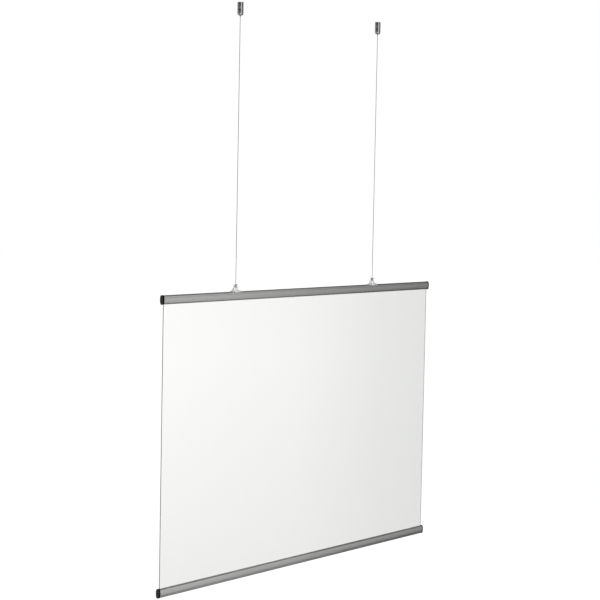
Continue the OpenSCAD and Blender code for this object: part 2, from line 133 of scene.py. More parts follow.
class CapSettings(PropertyGroup):
    """Sizes of the black end caps"""

    thickness: length("Thickness", 0.0046, "Thickness of a cap's plate")
    lip: length("Lip", CAP_LIP, "How far the plate stands proud of the rail")
    round: length("Rounding", 0.0008, "Radius of the plate's outer edge")
    rim: length("Rim", 0.0016, "Width of the rim round the recessed face")
    recess: length("Recess", 0.0007, "Depth of the recessed face")
    plug: length("Plugs", 0.01, "Length of the plugs inside the rail")


class HangerSettings(PropertyGroup):
    """Sizes of the clear hangers"""

    foot_l: length("Foot plate", 0.038, "Length of the foot plate along the rail")
    plate_t: length("Plate", 0.0025, "Thickness of the foot plate above the rail")
    skirt: length("Skirt", 0.0018, "How far the foot plate's skirts reach down")
    gap: length("Gap", 0.0003, "Clearance between the foot plate and the rail")
    tee_l: length("T foot", 0.03, "Length of the T foot in the channel")
    tee_gap: length("T foot gap", 0.00025, "Clearance of the T foot in the channel")
    crown_r: length("Crown", 0.0065, "Radius of the rounded crown")
    column_d: length("Column", 0.01, "Depth of the column, front to back")
    web_t: length("Webs", 0.004, "Thickness of the side webs")
    window: length("Windows", 0.0026, "Diameter of the windows in the webs")
    slit: length("Slit", 0.0022, "Width of the slit that lets the cable in")
    keyhole: length("Keyhole", 0.0072, "Diameter of the keyhole that lets the ball in")
    keyhole_drop: length("Keyhole drop", 0.0072, "Distance from the seat to the keyhole")
    mouth: angle("Mouth", 19.24, "How wide the crown's mouth opens round the cable")
    soft: length("Edge", 0.0003, "Radius of the moulded edges")


class FittingSettings(PropertyGroup):
    """Sizes of the turned ceiling fittings"""

    base_h: length("Base", 0.016, "Height of the base")
    floor_t: length("Base floor", 0.0032, "Thickness of the base's floor")
    fixing_d: length("Fixing hole", 0.0045, "Diameter of the fixing hole")
    sink_d: length("Countersink", 0.0086, "Diameter of the fixing hole's countersink")
    pin_hole_d: length("Pin hole", 0.0044, "Diameter of the hole for the pin that turns the base")
    pin_hole_z: length("Pin hole drop", 0.0059, "Depth of the pin hole below the ceiling")
    collar_h: length("Collar", 0.0105, "Height of the coupler's collar")
    spigot_r: length("Spigot", 0.0062, "Radius of the coupler's spigots")
    upper_spigot: length("Upper spigot", 0.0075, "Length of the upper spigot")
    lower_spigot: length("Lower spigot", 0.0022, "Length of the lower spigot")
    bore_r: length("Bore", 0.0048, "Radius of the coupler's bore")
    gap: length("Gap", 0.0001, "Clearance round the spigots and the clamp ball")
    hole_w: length("Side hole width", 0.0036, "Width of the side hole")
    hole_h: length("Side hole height", 0.0076, "Height of the side hole")
    hole_drop: length("Side hole drop", 0.0062, "Depth of the side hole below the collar's top")
    left_turn: angle("Left holes", 53.0, "Direction of the left holes, from the front to the left")
    right_turn: angle("Right holes", 64.0, "Direction of the right holes, likewise")
    nose_r: length("Nose", 0.004, "Radius of the nut's rounded nose")
    bevel: length("Bevels", 0.0004, "Width of the bevels where the turned parts meet")
    clamp_z: length("Clamp rise", 0.0065, "Height of the clamp ball above the nut's end")
    clamp_r: length("Clamp ball", 0.004, "Radius of the clamp ball")
    stem_r: length("Stem", 0.0015, "Radius of the clamp's stem")
    lean: angle("Mouth", 15.49, "How far the cable may lean in the nut's mouth")


class CableSettings(PropertyGroup):
    """Sizes of the stranded cables"""

    diameter: length("Diameter", 0.0015, "Diameter of the cable")
    lay: length("Lay", 0.0105, "Length in which a strand goes once round")
    strands: IntProperty(name="Strands", description="Strands round the core", default=6,
                         min=3, max=12)
    shank_r: length("Shank", 0.00105, "Radius of the ball's shank")
    shank_l: length("Shank length", 0.0016, "Length of the ball's shank")


class SheetSettings(PropertyGroup):
    """Finish of the clear sheet's edges"""

    round: length("Edge", 0.0003, "Rounding of the sheet's polished edges")


class FinishSettings(PropertyGroup):
    """Colours of the finishes"""

    aluminium: tone("Satin aluminium", (0.58, 0.58, 0.57), "Colour of the rails")
    chrome: tone("Chrome", (0.62, 0.63, 0.64), "Colour of the ceiling fittings")
    steel: tone("Plain steel", (0.50, 0.49, 0.47), "Colour of the clamps")
    dark_steel: tone("Dark steel", (0.09, 0.09, 0.095), "Colour of balls and set screws")
    cable: tone("Cable steel", (0.25, 0.25, 0.25), "Colour of the cables")
    black: tone("Black plastic", (0.012, 0.012, 0.013), "Colour of the end caps")
    hanger: tone("Clear plastic", (0.93, 0.94, 0.93), "Tint of the hangers")
    sheet: tone("Clear sheet", (0.845, 0.855, 0.84), "Tint of the sheet")


class StudioSettings(PropertyGroup):
    """Camera and light"""

    lens: FloatProperty(name="Lens", description="Focal length in millimetres on 36 mm",
                        default=101.9, min=10.0, subtype="DISTANCE_CAMERA")
    yaw: angle("Turn", 50.717, "Camera's direction, from straight on towards the right end")
    pitch: angle("Tilt", 3.79, "How far the camera looks down")
    roll: angle("Roll", 1.1205, "Roll of the camera")
    distance: length("Distance", 4.8613, "Distance from the camera to the point it looks at")
    aim_x: FloatProperty(name="Aim X", description="Point looked at, along the panel",
                         default=-0.0313, unit="LENGTH", subtype="DISTANCE")
    aim_z: FloatProperty(name="Aim Z", description="Point looked at, height", default=-0.8182,
                         unit="LENGTH", subtype="DISTANCE")
    room_height: length("Room", 2.4, "Height of the ceiling over the floor")
    lamp: FloatProperty(name="Lamp", description="Strength of the soft lamp", default=1.15,
                        min=0.0)
    fill: share("Fill", 0.62, "Level of the light from all round", 4.0)


class DividerSettings(PropertyGroup):
    """All settings of the divider panel"""

    rail: PointerProperty(type=RailSettings)
    cap: PointerProperty(type=CapSettings)
    hanger: PointerProperty(type=HangerSettings)
    fitting: PointerProperty(type=FittingSettings)
    cable: PointerProperty(type=CableSettings)
    sheet: PointerProperty(type=SheetSettings)
    finish: PointerProperty(type=FinishSettings)
    studio: PointerProperty(type=StudioSettings)


# ---------------- shading


class Wire:
    """An output of a node that can be used in sums, differences, products and quotients."""

    def __init__(self, shading, socket):
        self.shading = shading
        self.socket = socket

    def sum(self, operation, *others, clamp=False):
        """The result of a Math node on this output and the other terms."""
        return self.shading.node("ShaderNodeMath", {"operation": operation, "use_clamp": clamp},
                                 dict(enumerate((self, *others))))

    def __add__(self, other):
        return self.sum("ADD", other)

    def __sub__(self, other):
        return self.sum("SUBTRACT", other)

    def __rsub__(self, other):
        return self * -1.0 + other

    def __mul__(self, other):
        return self.sum("MULTIPLY", other)

    def __truediv__(self, other):
        return self.sum("DIVIDE", other)

    __radd__ = __add__
    __rmul__ = __mul__

    def clamped(self):
        return self.sum("ADD", 0.0, clamp=True)


class Shading:
    """The nodes of a material, of the world or of a geometry tree."""

    def __init__(self, owner):
        if not isinstance(owner, bpy.types.NodeTree):
            owner.use_nodes = True
            owner = owner.node_tree
            owner.nodes.clear()
        self.tree = owner

    def node(self, kind, settings=None, inputs=None, output=0):
        """Adds a node with its settings, then the values or links of its sockets."""
        made = self.tree.nodes.new(kind)
        for key, value in (settings or {}).items():
            if key == "stops":
                ramp = made.color_ramp.elements
                while len(ramp) > 1:
                    ramp.remove(ramp[-1])
                ramp[0].position, ramp[0].color = value[0][0], (*[value[0][1]] * 3, 1.0)
                for place, level in value[1:]:
                    ramp.new(place).color = (*[level] * 3, 1.0)
            else:
                setattr(made, key, value)
        for key, value in (inputs or {}).items():
            for one in value if isinstance(value, list) else [value]:
                if isinstance(one, Wire):
                    self.tree.links.new(one.socket, made.inputs[key])
                else:
                    made.inputs[key].default_value = one
        return Wire(self, made.outputs[output] if made.outputs else None)

    def axis(self, number):
        """Where a point lies along X, Y or Z: 0, 1 or 2."""
        here = self.node("ShaderNodeTexCoord", output="Object")
        return self.node("ShaderNodeSeparateXYZ", {}, {"Vector": here}, number)

    def noise(self, *scale, detail):
        """Noise with that many grains to the metre along each axis."""
        here = self.node("ShaderNodeTexCoord", output="Object")
        where = self.node("ShaderNodeMapping", {}, {"Vector": here, "Scale": scale})
        return self.node("ShaderNodeTexNoise", {}, {"Vector": where, "Scale": 1.0,
                                                    "Detail": detail})

    def ray(self, kind):
        return self.node("ShaderNodeLightPath", output=f"Is {kind} Ray")

    def mix(self, factor, one, other):
        """A colour between two colours."""
        return self.node("ShaderNodeMix", {"data_type": "RGBA"},
                         {0: factor, 6: one, 7: other}, 2)

    def bump(self, height, distance, strength=1.0):
        return self.node("ShaderNodeBump", {}, {"Height": height, "Distance": distance,
                                                "Strength": strength})

    def surface(self, **sockets):
        """A Principled surface whose sockets take values or wires, and the output."""
        named = {key.replace("_", " "): value for key, value in sockets.items()}
        shader = self.node("ShaderNodeBsdfPrincipled", {}, named)
        self.node("ShaderNodeOutputMaterial", {"target": "ALL"}, {"Surface": shader})


def rgba(colour, level=1.0):
    return (*[c * level for c in colour], 1.0)


def draw_aluminium(s, colour):
    """Drawn and satin anodised: fine lines along the rail that spread its shine across them."""
    lines = s.noise(14, 5200, 5200, detail=3)
    streaks = s.noise(5, 700, 700, detail=2)
    clouds = s.noise(7, 60, 60, detail=2)
    mark = lines * 0.5 + streaks * 0.5
    s.surface(
        Base_Color=s.mix(mark * 0.7 + clouds * 0.3, rgba(colour, 0.93), rgba(colour, 1.05)),
        Metallic=1.0,
        Roughness=0.30 + 0.07 * mark + 0.05 * clouds,
        Anisotropic=0.9,
        Anisotropic_Rotation=0.25,
        Normal=s.bump(mark, 0.00002, 0.35),
    )


def draw_chrome(s, colour):
    """Polished chrome over turned brass, with faint rings and a haze; its inner surfaces are dull
    and painted nearly black, as painted shade in the bores and holes.
    """
    rings = s.noise(30, 30, 3500, detail=1)
    haze = s.noise(140, 140, 140, detail=3)
    across, deep = s.axis(0).sum("ABSOLUTE") - CABLE_X["right"], s.axis(1)
    shade_inset = 0.0009
    # Painted shade: every surface more than 0.9 mm in from the outer radius (bores, holes, spigots
    # and faces near the axis) gets a nearly black colour
    inside = (across * across + deep * deep).sum(
        "LESS_THAN", (FITTING_RADIUS - shade_inset) ** 2)
    skin = s.mix(haze, rgba(colour, 0.95), rgba(colour, 1.04))
    s.surface(
        # Painted shade: the inner surfaces take a nearly black colour
        Base_Color=s.mix(inside, skin, rgba(colour, 0.04)),
        Metallic=1.0,
        Roughness=0.045 + 0.05 * haze + 0.35 * inside,
        Normal=s.bump(rings, 0.000002, 0.3),
    )


def draw_steel(s, colour):
    """Turned steel with a dull skin."""
    rings = s.noise(60, 60, 4200, detail=2)
    spots = s.noise(900, 900, 900, detail=3)
    s.surface(
        Base_Color=s.mix(spots, rgba(colour, 0.82), rgba(colour, 1.1)),
        Metallic=1.0,
        Roughness=0.26 + 0.12 * spots,
        Normal=s.bump(rings, 0.000006, 0.5),
    )


def draw_cable(s, colour):
    """Drawn stainless wires: fine lines along the strands, greyer in places."""
    wires = s.noise(5200, 5200, 260, detail=2)
    patches = s.noise(300, 300, 45, detail=2)
    s.surface(
        Base_Color=s.mix(wires * 0.6 + patches * 0.4, rgba(colour, 0.80), rgba(colour, 1.08)),
        Metallic=1.0,
        Roughness=0.30 + 0.14 * patches,
        Normal=s.bump(wires, 0.00001, 0.4),
    )


def draw_black(s, colour):
    """Moulded black plastic with an eroded texture; the caps' recessed faces are paler, in
    blotches, and everything else is darker than the set colour.
    """
    grains = s.noise(3600, 3600, 3600, detail=2)
    blotches = s.noise(160, 160, 160, detail=4)
    recessed = PANEL_WIDTH / 2 - settings().cap.recess
    face = s.axis(0).sum("ABSOLUTE").sum("COMPARE", recessed, 0.0001)
    # The recessed faces are paler, 2.2 to 3.6 times the set colour in blotches; the rest is a
    # fifth of it
    pale_face_tone = s.mix((blotches * 1.6 - 0.5).clamped(), rgba(colour, 2.2), rgba(colour, 3.6))
    s.surface(
        Base_Color=s.mix(face, rgba(colour, 0.2), pale_face_tone),
        Roughness=0.34 + 0.14 * blotches + 0.12 * face,
        Specular_IOR_Level=0.15,
        Normal=s.bump(grains, 0.00002, 0.45),
    )


def draw_hanger(s, colour):
    """Moulded clear plastic, with a slight flow in it and a trace of haze."""
    flow = s.noise(420, 420, 420, detail=1)
    haze = s.noise(900, 900, 900, detail=3)
    s.surface(
        Base_Color=rgba(colour),
        Roughness=0.012 + 0.02 * haze,
        Transmission_Weight=1.0,
        IOR=1.49,
        Normal=s.bump(flow, 0.00002, 1.0),
    )


def draw_sheet(s, colour):
    """Clear sheet, flat to the eye, with its ends painted dark: a dark metallic border of painted
    shade for the darkness that internal reflections give a clear sheet's edges.
    """
    wave = s.noise(2.5, 2.5, 2.5, detail=1)
    haze = s.noise(12, 12, 12, detail=4)
    # Painted shade: a 0.9 mm border at each end is painted dark, rough and metallic, for the dark
    # look of a clear sheet's edges
    dark_border = 0.0009
    end = s.axis(0).sum("ABSOLUTE").sum("GREATER_THAN", SHEET_END - dark_border)
    s.surface(
        Base_Color=s.mix(end, rgba(colour), rgba(colour, 0.12)),
        Metallic=end,
        Roughness=0.010 + 0.012 * haze + 0.25 * end,
        Transmission_Weight=1.0,
        IOR=1.585,
        Coat_Weight=1.0,
        Coat_Roughness=0.01,
        Normal=s.bump(wave, 0.00002, 1.0),
    )


def finish_of(name):
    """A finish by its slot in the record, drawn the first time that it is asked for."""
    made = bpy.data.materials.get("finish_" + name)
    if made is None:
        colours = settings().finish
        colour, draw = {
            "satin_aluminium": (colours.aluminium, draw_aluminium),
            "chrome": (colours.chrome, draw_chrome),
            "plain_steel": (colours.steel, draw_steel),
            "dark_steel": (colours.dark_steel, draw_steel),
            "cable_steel": (colours.cable, draw_cable),
            "black_cap": (colours.black, draw_black),
            "clear_hanger": (colours.hanger, draw_hanger),
            "clear_sheet": (colours.sheet, draw_sheet),
        }[name]
        made = bpy.data.materials.new("finish_" + name)
        made.diffuse_color = rgba(colour)
        draw(Shading(made), colour)
    return made


# ---------------- flat shapes

MERGE = 1e-8
# How far a cutter or a joined part reaches past a surface
OVER = 0.001


class Shape:
    """A flat shape: its outlines, and which of them a point has to lie in.

    Shapes go together with | (either), & (both) and - (the first without the second).
    """

    def __init__(self, outlines, holds):
        self.outlines = outlines
        self.holds = holds

    def with_shape(self, other, rule):
        return Shape({**self.outlines, **other.outlines},
                     lambda inside: rule(self.holds(inside), other.holds(inside)))

    def __or__(self, other):
        return self.with_shape(other, lambda one, two: one or two)

    def __and__(self, other):
        return self.with_shape(other, lambda one, two: one and two)

    def __sub__(self, other):
        return self.with_shape(other, lambda one, two: one and not two)

    def loops(self):
        """The closed loops round the shape, each with the shape on its left."""
        outlines = list(self.outlines)
        points, faces = [], []
        for outline in outlines:
            faces.append(list(range(len(points), len(points) + len(outline))))
            points += [Vector(p) for p in outline]
        made, _, triangles, _, _, sources = delaunay_2d_cdt(points, [], faces, 1, MERGE)
        edges = set()
        for triangle, source in zip(triangles, sources):
            if self.holds({outlines[i] for i in source}):
                edges |= {(triangle[i - 1], triangle[i]) for i in range(3)}
        after = dict(sorted((a, b) for a, b in edges if (b, a) not in edges))
        loops = []
        while after:
            start, place = after.popitem()
            loop = [start]
            while place != start:
                loop.append(place)
                place = after.pop(place)
            loops.append([made[i] for i in loop])
        return loops


def drawn(points):
    """The shape inside one closed outline, drawn counter-clockwise."""
    outline = tuple((round(y, 9), round(z, 9)) for y, z in points)
    return Shape({outline: True}, lambda inside: outline in inside)


def block(y0, y1, z0, z1):
    return drawn([(y0, z0), (y1, z0), (y1, z1), (y0, z1)])


def point(y, z, radius, turn):
    """The point at a distance from a centre, in a direction."""
    return y + radius * cos(turn), z + radius * sin(turn)


def arc(y, z, radius, start, end, steps):
    """Points round a centre, from one direction to another."""
    return [point(y, z, radius, start + (end - start) * i / steps) for i in range(steps + 1)]


def disc(y, z, radius, steps=72):
    return drawn(arc(y, z, radius, 0.0, tau, steps)[:-1])


def wedge(y, z, radius, start, end):
    """A slice of a disc, less than half a turn wide, with a corner that reaches past it."""
    far = radius / cos((end - start) / 2)
    return drawn([(y, z), point(y, z, radius, start), point(y, z, far, (start + end) / 2),
                  point(y, z, radius, end)])


def rounding(radius, steps):
    """How far a rounded corner stands back from its two sides, from one to the other."""
    turns = [tau / 4 * step / steps for step in range(steps + 1)]
    return [(radius * (1 - sin(t)), radius * (1 - cos(t))) for t in turns]


def softened(loop, radius, sharp=radians(20), steps=4):
    """A loop without its needless points, and with its sharp corners rounded."""
    nearest, straight, most = 2e-6, 0.002, 0.45
    kept = []
    for here in loop:
        before = kept[-1] if kept else loop[-1]
        if (here - before).length > nearest:
            kept.append(here)
    rounded = []
    for i, here in enumerate(kept):
        back, on = kept[i - 1] - here, kept[(i + 1) % len(kept)] - here
        turn = pi - back.angle(on)
        if turn < straight:
            continue
        if turn < sharp or radius == 0:
            rounded.append(here)
            continue
        reach = min(radius * tan(turn / 2), most * back.length, most * on.length)
        start, end = here + back.normalized() * reach, here + on.normalized() * reach
        for t in (step / steps for step in range(steps + 1)):
            rounded.append(start.lerp(here, t).lerp(here.lerp(end, t), t))
    return rounded


# ---------------- solids


def shown(name, data):
    """A new object in the scene."""
    made = bpy.data.objects.new(name, data)
    bpy.context.scene.collection.objects.link(made)
    return made


def applied(mesh, *modifiers):
    """A mesh after modifiers, each a kind and its settings, a tree's inputs among them."""
    holder = shown("holder", mesh)
    for kind, values in modifiers:
        modifier = holder.modifiers.new(kind, kind)
        for key, value in values.items():
            if key.startswith("Socket"):
                modifier[key] = value
            else:
                setattr(modifier, key, value)
    bpy.context.view_layer.update()
    evaluated = holder.evaluated_get(bpy.context.evaluated_depsgraph_get())
    made = bpy.data.meshes.new_from_object(evaluated)
    bpy.data.objects.remove(holder)
    return made


def combined(mesh, operation, *others):
    """A mesh after adding to it, or cutting from it, other meshes in turn."""
    for other in others:
        holder = shown("other", other)
        mesh = applied(mesh, ("BOOLEAN", {"operation": operation, "solver": "MANIFOLD",
                                          "object": holder}))
        bpy.data.objects.remove(holder)
    return mesh


def closed(bm, matrix=Matrix.Identity(4)):
    """The mesh of a closed solid, merged, facing outwards and moved into place."""
    bmesh.ops.remove_doubles(bm, verts=bm.verts, dist=1e-7)
    bmesh.ops.transform(bm, verts=bm.verts, matrix=matrix)
    bmesh.ops.recalc_face_normals(bm, faces=bm.faces)
    mesh = bpy.data.meshes.new("solid")
    bm.to_mesh(mesh)
    bm.free()
    return mesh


def shaded(mesh, place=Matrix.Identity(4), sharp=radians(34)):
    """A copy put in its place, smooth but for its sharp edges and flat faces."""
    bm = bmesh.new()
    bm.from_mesh(mesh)
    bm.transform(place)
    if place.is_negative:
        bmesh.ops.reverse_faces(bm, faces=bm.faces)
    for face in bm.faces:
        face.smooth = True
    for edge in bm.edges:
        edge.smooth = edge.is_manifold and edge.calc_face_angle(0.0) < sharp
    made = bpy.data.meshes.new("shaded")
    bm.to_mesh(made)
    bm.free()
    return applied(made, ("WEIGHTED_NORMAL", {"keep_sharp": True, "weight": 50}))


def extruded(shape, x0, x1, soft=0.0, matrix=Matrix.Identity(4)):
    """A flat shape in Y and Z, laid along X from one place to another."""
    loops = [softened(loop, soft) for loop in shape.loops()]
    bm = bmesh.new()
    ends = [[bm.verts.new((x, *p)) for loop in loops for p in loop] for x in (x0, x1)]
    first = 0
    for loop in loops:
        for i in range(len(loop)):
            a, b = first + i, first + (i + 1) % len(loop)
            bm.faces.new((ends[0][a], ends[0][b], ends[1][b], ends[1][a]))
        first += len(loop)
    for triangle in tessellate_polygon([[p.to_3d() for p in loop] for loop in loops]):
        for end in ends:
            bm.faces.new([end[i] for i in triangle])
    return closed(bm, matrix)


def turned(profile, soft=0.00012, steps=96, matrix=Matrix.Identity(4)):
    """A closed profile of radius and height, turned about Z."""
    loop = softened([Vector(p) for p in profile], soft)
    bm = bmesh.new()
    rings = []
    for step in range(steps):
        c, s = cos(tau * step / steps), sin(tau * step / steps)
        rings.append([bm.verts.new((p[0] * c, p[0] * s, p[1])) for p in loop])
    for i in range(len(loop)):
        j = (i + 1) % len(loop)
        if max(loop[i][0], loop[j][0]) < 1e-6:
            continue
        for step in range(steps):
            one, two = rings[step - 1], rings[step]
            bm.faces.new((one[i], two[i], two[j], one[j]))
    return closed(bm, matrix)


def lofted(rings, matrix=Matrix.Identity(4)):
    """A skin over rings with the same number of points, closed at both ends."""
    bm = bmesh.new()
    made = [[bm.verts.new(p) for p in ring] for ring in rings]
    for one, two in zip(made, made[1:]):
        for i in range(len(one)):
            bm.faces.new((one[i - 1], one[i], two[i], two[i - 1]))
    bm.faces.new(made[0])
    bm.faces.new(made[-1])
    return closed(bm, matrix)


def settings():
    return bpy.context.scene.divider


def piece(name, mesh, finish, body, *nodes):
    """A finished piece at the origin that rides on a body and stands for CAD nodes."""
    mesh.name = name
    mesh.materials.clear()
    mesh.materials.append(finish_of(finish))
    made = shown(name, mesh)
    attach(made, body)
    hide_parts(*nodes)
    return made


def moved(x=0.0, z=0.0):
    return Matrix.Translation((x, 0.0, z))


def at_cable(side, z=0.0):
    return moved(CABLE_X[side], z)


def in_rail(where):
    """From a section with its top at height 0 to the top rail, or end for end to the bottom."""
    if where == "top":
        return moved(z=RAIL_TOP)
    return moved(z=RAIL_BOTTOM) @ Matrix.Rotation(pi, 4, "Y")


# ---------------- rails


class RailSection:
    """The two extrusions of a snap rail, drawn with the top of the rail at height 0."""

    # Sizes that the solids share and that no user changes
    channel_sink, column_gap, shoulder_tip, keeper_lip = 0.0002, 0.00035, 0.0011, 0.0005
    nib_r, sheet_y = 0.0003, 0.001
    arm_start, arm_end, nib_lag = radians(-125), radians(-65), radians(5)
    steps = 20

    def __init__(self, r):
        self.r = r
        self.edge_z = r.height / 2 - r.edge_r
        reach = r.face_r - r.edge_r
        self.edge_y = r.depth / 2 - r.face_r + sqrt(reach ** 2 - self.edge_z ** 2)
        self.tangent = asin(self.edge_z / reach)
        self.channel_top = -r.wall - self.channel_sink
        self.channel_floor = self.channel_top - r.channel_h
        self.shoulder = self.channel_floor - r.rib
        self.hinge_z = self.shoulder - r.seam - r.hook_r
        from_middle = self.hinge_z + r.height / 2
        face = r.depth / 2 - r.face_r + sqrt(r.face_r ** 2 - from_middle ** 2)
        self.hinge_y = r.hook_r - face
        self.hinge = self.hinge_y, self.hinge_z
        self.column_y = self.hinge_y + r.hook_r + self.column_gap
        path = r.arm_r + r.arm_bead + r.gap
        nib_turn = self.arm_end - asin(r.arm_bead / r.arm_r) - self.nib_lag
        self.keeper_r = path + self.nib_r
        self.nib = point(*self.hinge, self.keeper_r, nib_turn)
        self.stop = self.hinge_z - self.keeper_r - self.keeper_lip
        self.keeper_top = self.stop + 2 * r.rib

    def outline(self, inset=0.0):
        """The oval, counter-clockwise from the front end of its flat underside."""
        r, points = self.r, []
        corner, face = r.edge_r - inset, r.face_r - inset
        middle = -r.height / 2
        for side, end, start in ((1, -1, -0.25), (1, 1, 0.0), (-1, 1, 0.25), (-1, -1, 0.5)):
            full = tau / 4 - self.tangent
            from_flat = (side, end) in ((1, -1), (-1, 1))
            turn = start * tau + (0.0 if from_flat else self.tangent)
            points += arc(side * self.edge_y, middle + end * self.edge_z, corner,
                          turn, turn + full, self.steps)
            if from_flat:
                turn = pi * (side < 0) - self.tangent
                points += arc(side * (r.depth / 2 - r.face_r), middle, face,
                              turn, turn + 2 * self.tangent, self.steps)[1:-1]
        return points

    def oval(self, inset=0.0):
        return drawn(self.outline(inset))

    def shell(self):
        return self.oval() - self.oval(self.r.wall)

    def notches(self, y, into):
        """The gaps between the jaw's teeth."""
        r, cut = self.r, None
        for i in range(1, int(r.jaw_h / r.tooth_pitch + 1e-6)):
            z = -r.height + i * r.tooth_pitch
            points = [(y, z), (y + into * r.tooth_depth, z + 0.45 * r.tooth_pitch),
                      (y, z + 0.9 * r.tooth_pitch)]
            notch = drawn(points if into > 0 else points[::-1])
            cut = notch if cut is None else cut | notch
        return cut

    def back(self):
        """Shell, hanger channel, hinge bead, sheet stop with its keeper, and back jaw."""
        r, d, low = self.r, self.r.depth, -self.r.height
        web = self.hinge_z - r.rib / 2, self.hinge_z + r.rib / 2
        solid = self.shell() & block(-d, d, self.shoulder, d)
        solid |= self.shell() & block(-d, self.hinge_y, self.shoulder - self.shoulder_tip,
                                      self.shoulder)
        solid |= self.shell() & block(self.sheet_y, d, low - d, d)
        ribs = block(-d, d, self.shoulder, self.channel_floor)
        ribs |= block(self.column_y, self.column_y + r.rib, self.stop, self.channel_floor)
        ribs |= block(self.hinge_y, self.column_y + r.rib, *web)
        ribs |= block(self.nib[0] - self.nib_r / 2, d, self.stop, self.keeper_top)
        ribs |= block(self.sheet_y, self.sheet_y + r.jaw_t, low - d, self.stop)
        solid |= self.oval() & ribs
        solid -= block(-r.slot_w / 2, r.slot_w / 2, self.channel_floor, d)
        kept = block(self.hinge_y, d, *web) | block(self.column_y, d, low - d, d)
        solid -= disc(*self.hinge, r.hook_r + r.seam) - kept
        solid -= disc(*self.hinge, self.keeper_r, 120) & block(
            -d, self.column_y, low - d, web[0])
        solid -= self.notches(self.sheet_y, 1)
        solid |= disc(*self.hinge, r.bead_r)
        return solid | disc(*self.nib, self.nib_r, 24)

    def front(self):
        """Hinge hook, crowned face, snap arm and front jaw."""
        r, d, low = self.r, self.r.depth, -self.r.height
        jaw_y, half = -self.sheet_y - r.gap, r.arm_t / 2
        solid = disc(*self.hinge, r.hook_r)
        solid |= self.shell() & block(-d, jaw_y, low - d, self.hinge_z)
        solid |= self.oval() & block(jaw_y - r.jaw_t, jaw_y, low - d, low + r.jaw_h)
        arm = disc(*self.hinge, r.arm_r + half, 120) - disc(*self.hinge, r.arm_r - half, 120)
        arm &= wedge(*self.hinge, 2 * r.arm_r, self.arm_start, self.arm_end)
        solid |= self.oval() & arm
        solid |= disc(*point(*self.hinge, r.arm_r, self.arm_end), r.arm_bead, 32)
        solid -= disc(*self.hinge, r.bead_r + r.gap)
        web = asin((r.rib / 2 + r.gap) / (r.bead_r + r.gap)) + radians(2)
        solid -= wedge(*self.hinge, r.hook_r + OVER, -web, web + r.cover_open)
        return solid - self.notches(jaw_y, -1)


class DIVIDER_OT_rails(Operator):
    """Build the four satin aluminium extrusions of the two snap rails"""

    bl_idname = "divider.rails"
    bl_label = "Snap rails"

    def execute(self, context):
        r = settings().rail
        section = RailSection(r)
        for where in ("top", "bottom"):
            for name, shape, span, body in (
                    ("back", section.back(), RAIL_LENGTH, "panel"),
                    ("front", section.front(), COVER_LENGTH, f"{where}_cover")):
                mesh = extruded(shape, -span / 2, span / 2, r.soft, in_rail(where))
                piece(f"{name}_extrusion_{where}", shaded(mesh), "satin_aluminium", body,
                      f"{where}_rail_{name}")
        return {"FINISHED"}


class DIVIDER_OT_end_caps(Operator):
    """Build the four black end caps with their recessed faces and plugs"""

    bl_idname = "divider.end_caps"
    bl_label = "End caps"

    def execute(self, context):
        r, c = settings().rail, settings().cap
        section = RailSection(r)
        outer, inner = PANEL_WIDTH / 2, PANEL_WIDTH / 2 - c.thickness
        # A corner of the rim in three points: how far its ends and its middle stand from it.
        # Two more rings lie on the recessed face.
        ends, middle = 0.0002, 0.00006
        profile = [(inner, ends - c.lip), (inner + ends, -c.lip)]
        profile += [(outer - along, inset - c.lip) for along, inset in rounding(c.round, 6)]
        edge, floor = c.rim - c.lip, outer - c.recess
        profile += [(outer, edge - ends), (outer - middle, edge - middle), (outer - ends, edge),
                    (floor + ends, edge), (floor + middle, edge + middle), (floor, edge + ends),
                    (floor, edge + 0.0012), (floor, edge + 0.0028)]
        rings = [[(x, *p) for p in section.outline(inset)] for x, inset in profile]
        gap, deep = 0.0001, r.depth
        inside = section.oval(r.wall + gap)
        back_room = section.column_y + r.rib + gap
        plugs = (
            block(-deep, deep, section.channel_floor + gap, section.channel_top),
            block(back_room, deep, section.keeper_top + gap, section.shoulder - gap),
            block(section.sheet_y + r.jaw_t + gap, deep, -r.height - deep, section.stop - gap),
        )
        solid = combined(lofted(rings), "UNION", *[
            extruded(inside & room, inner - c.plug, inner + OVER, 0.0002) for room in plugs])
        for where in ("top", "bottom"):
            for side, sign in SIDES.items():
                along = sign if where == "top" else -sign
                place = in_rail(where) @ Matrix.Diagonal((along, 1, 1, 1))
                piece(f"end_cap_{where}_{side}", shaded(solid, place), "black_cap", "panel",
                      f"cap_{where}_{side}")
        return {"FINISHED"}


# ---------------- hangers and cables


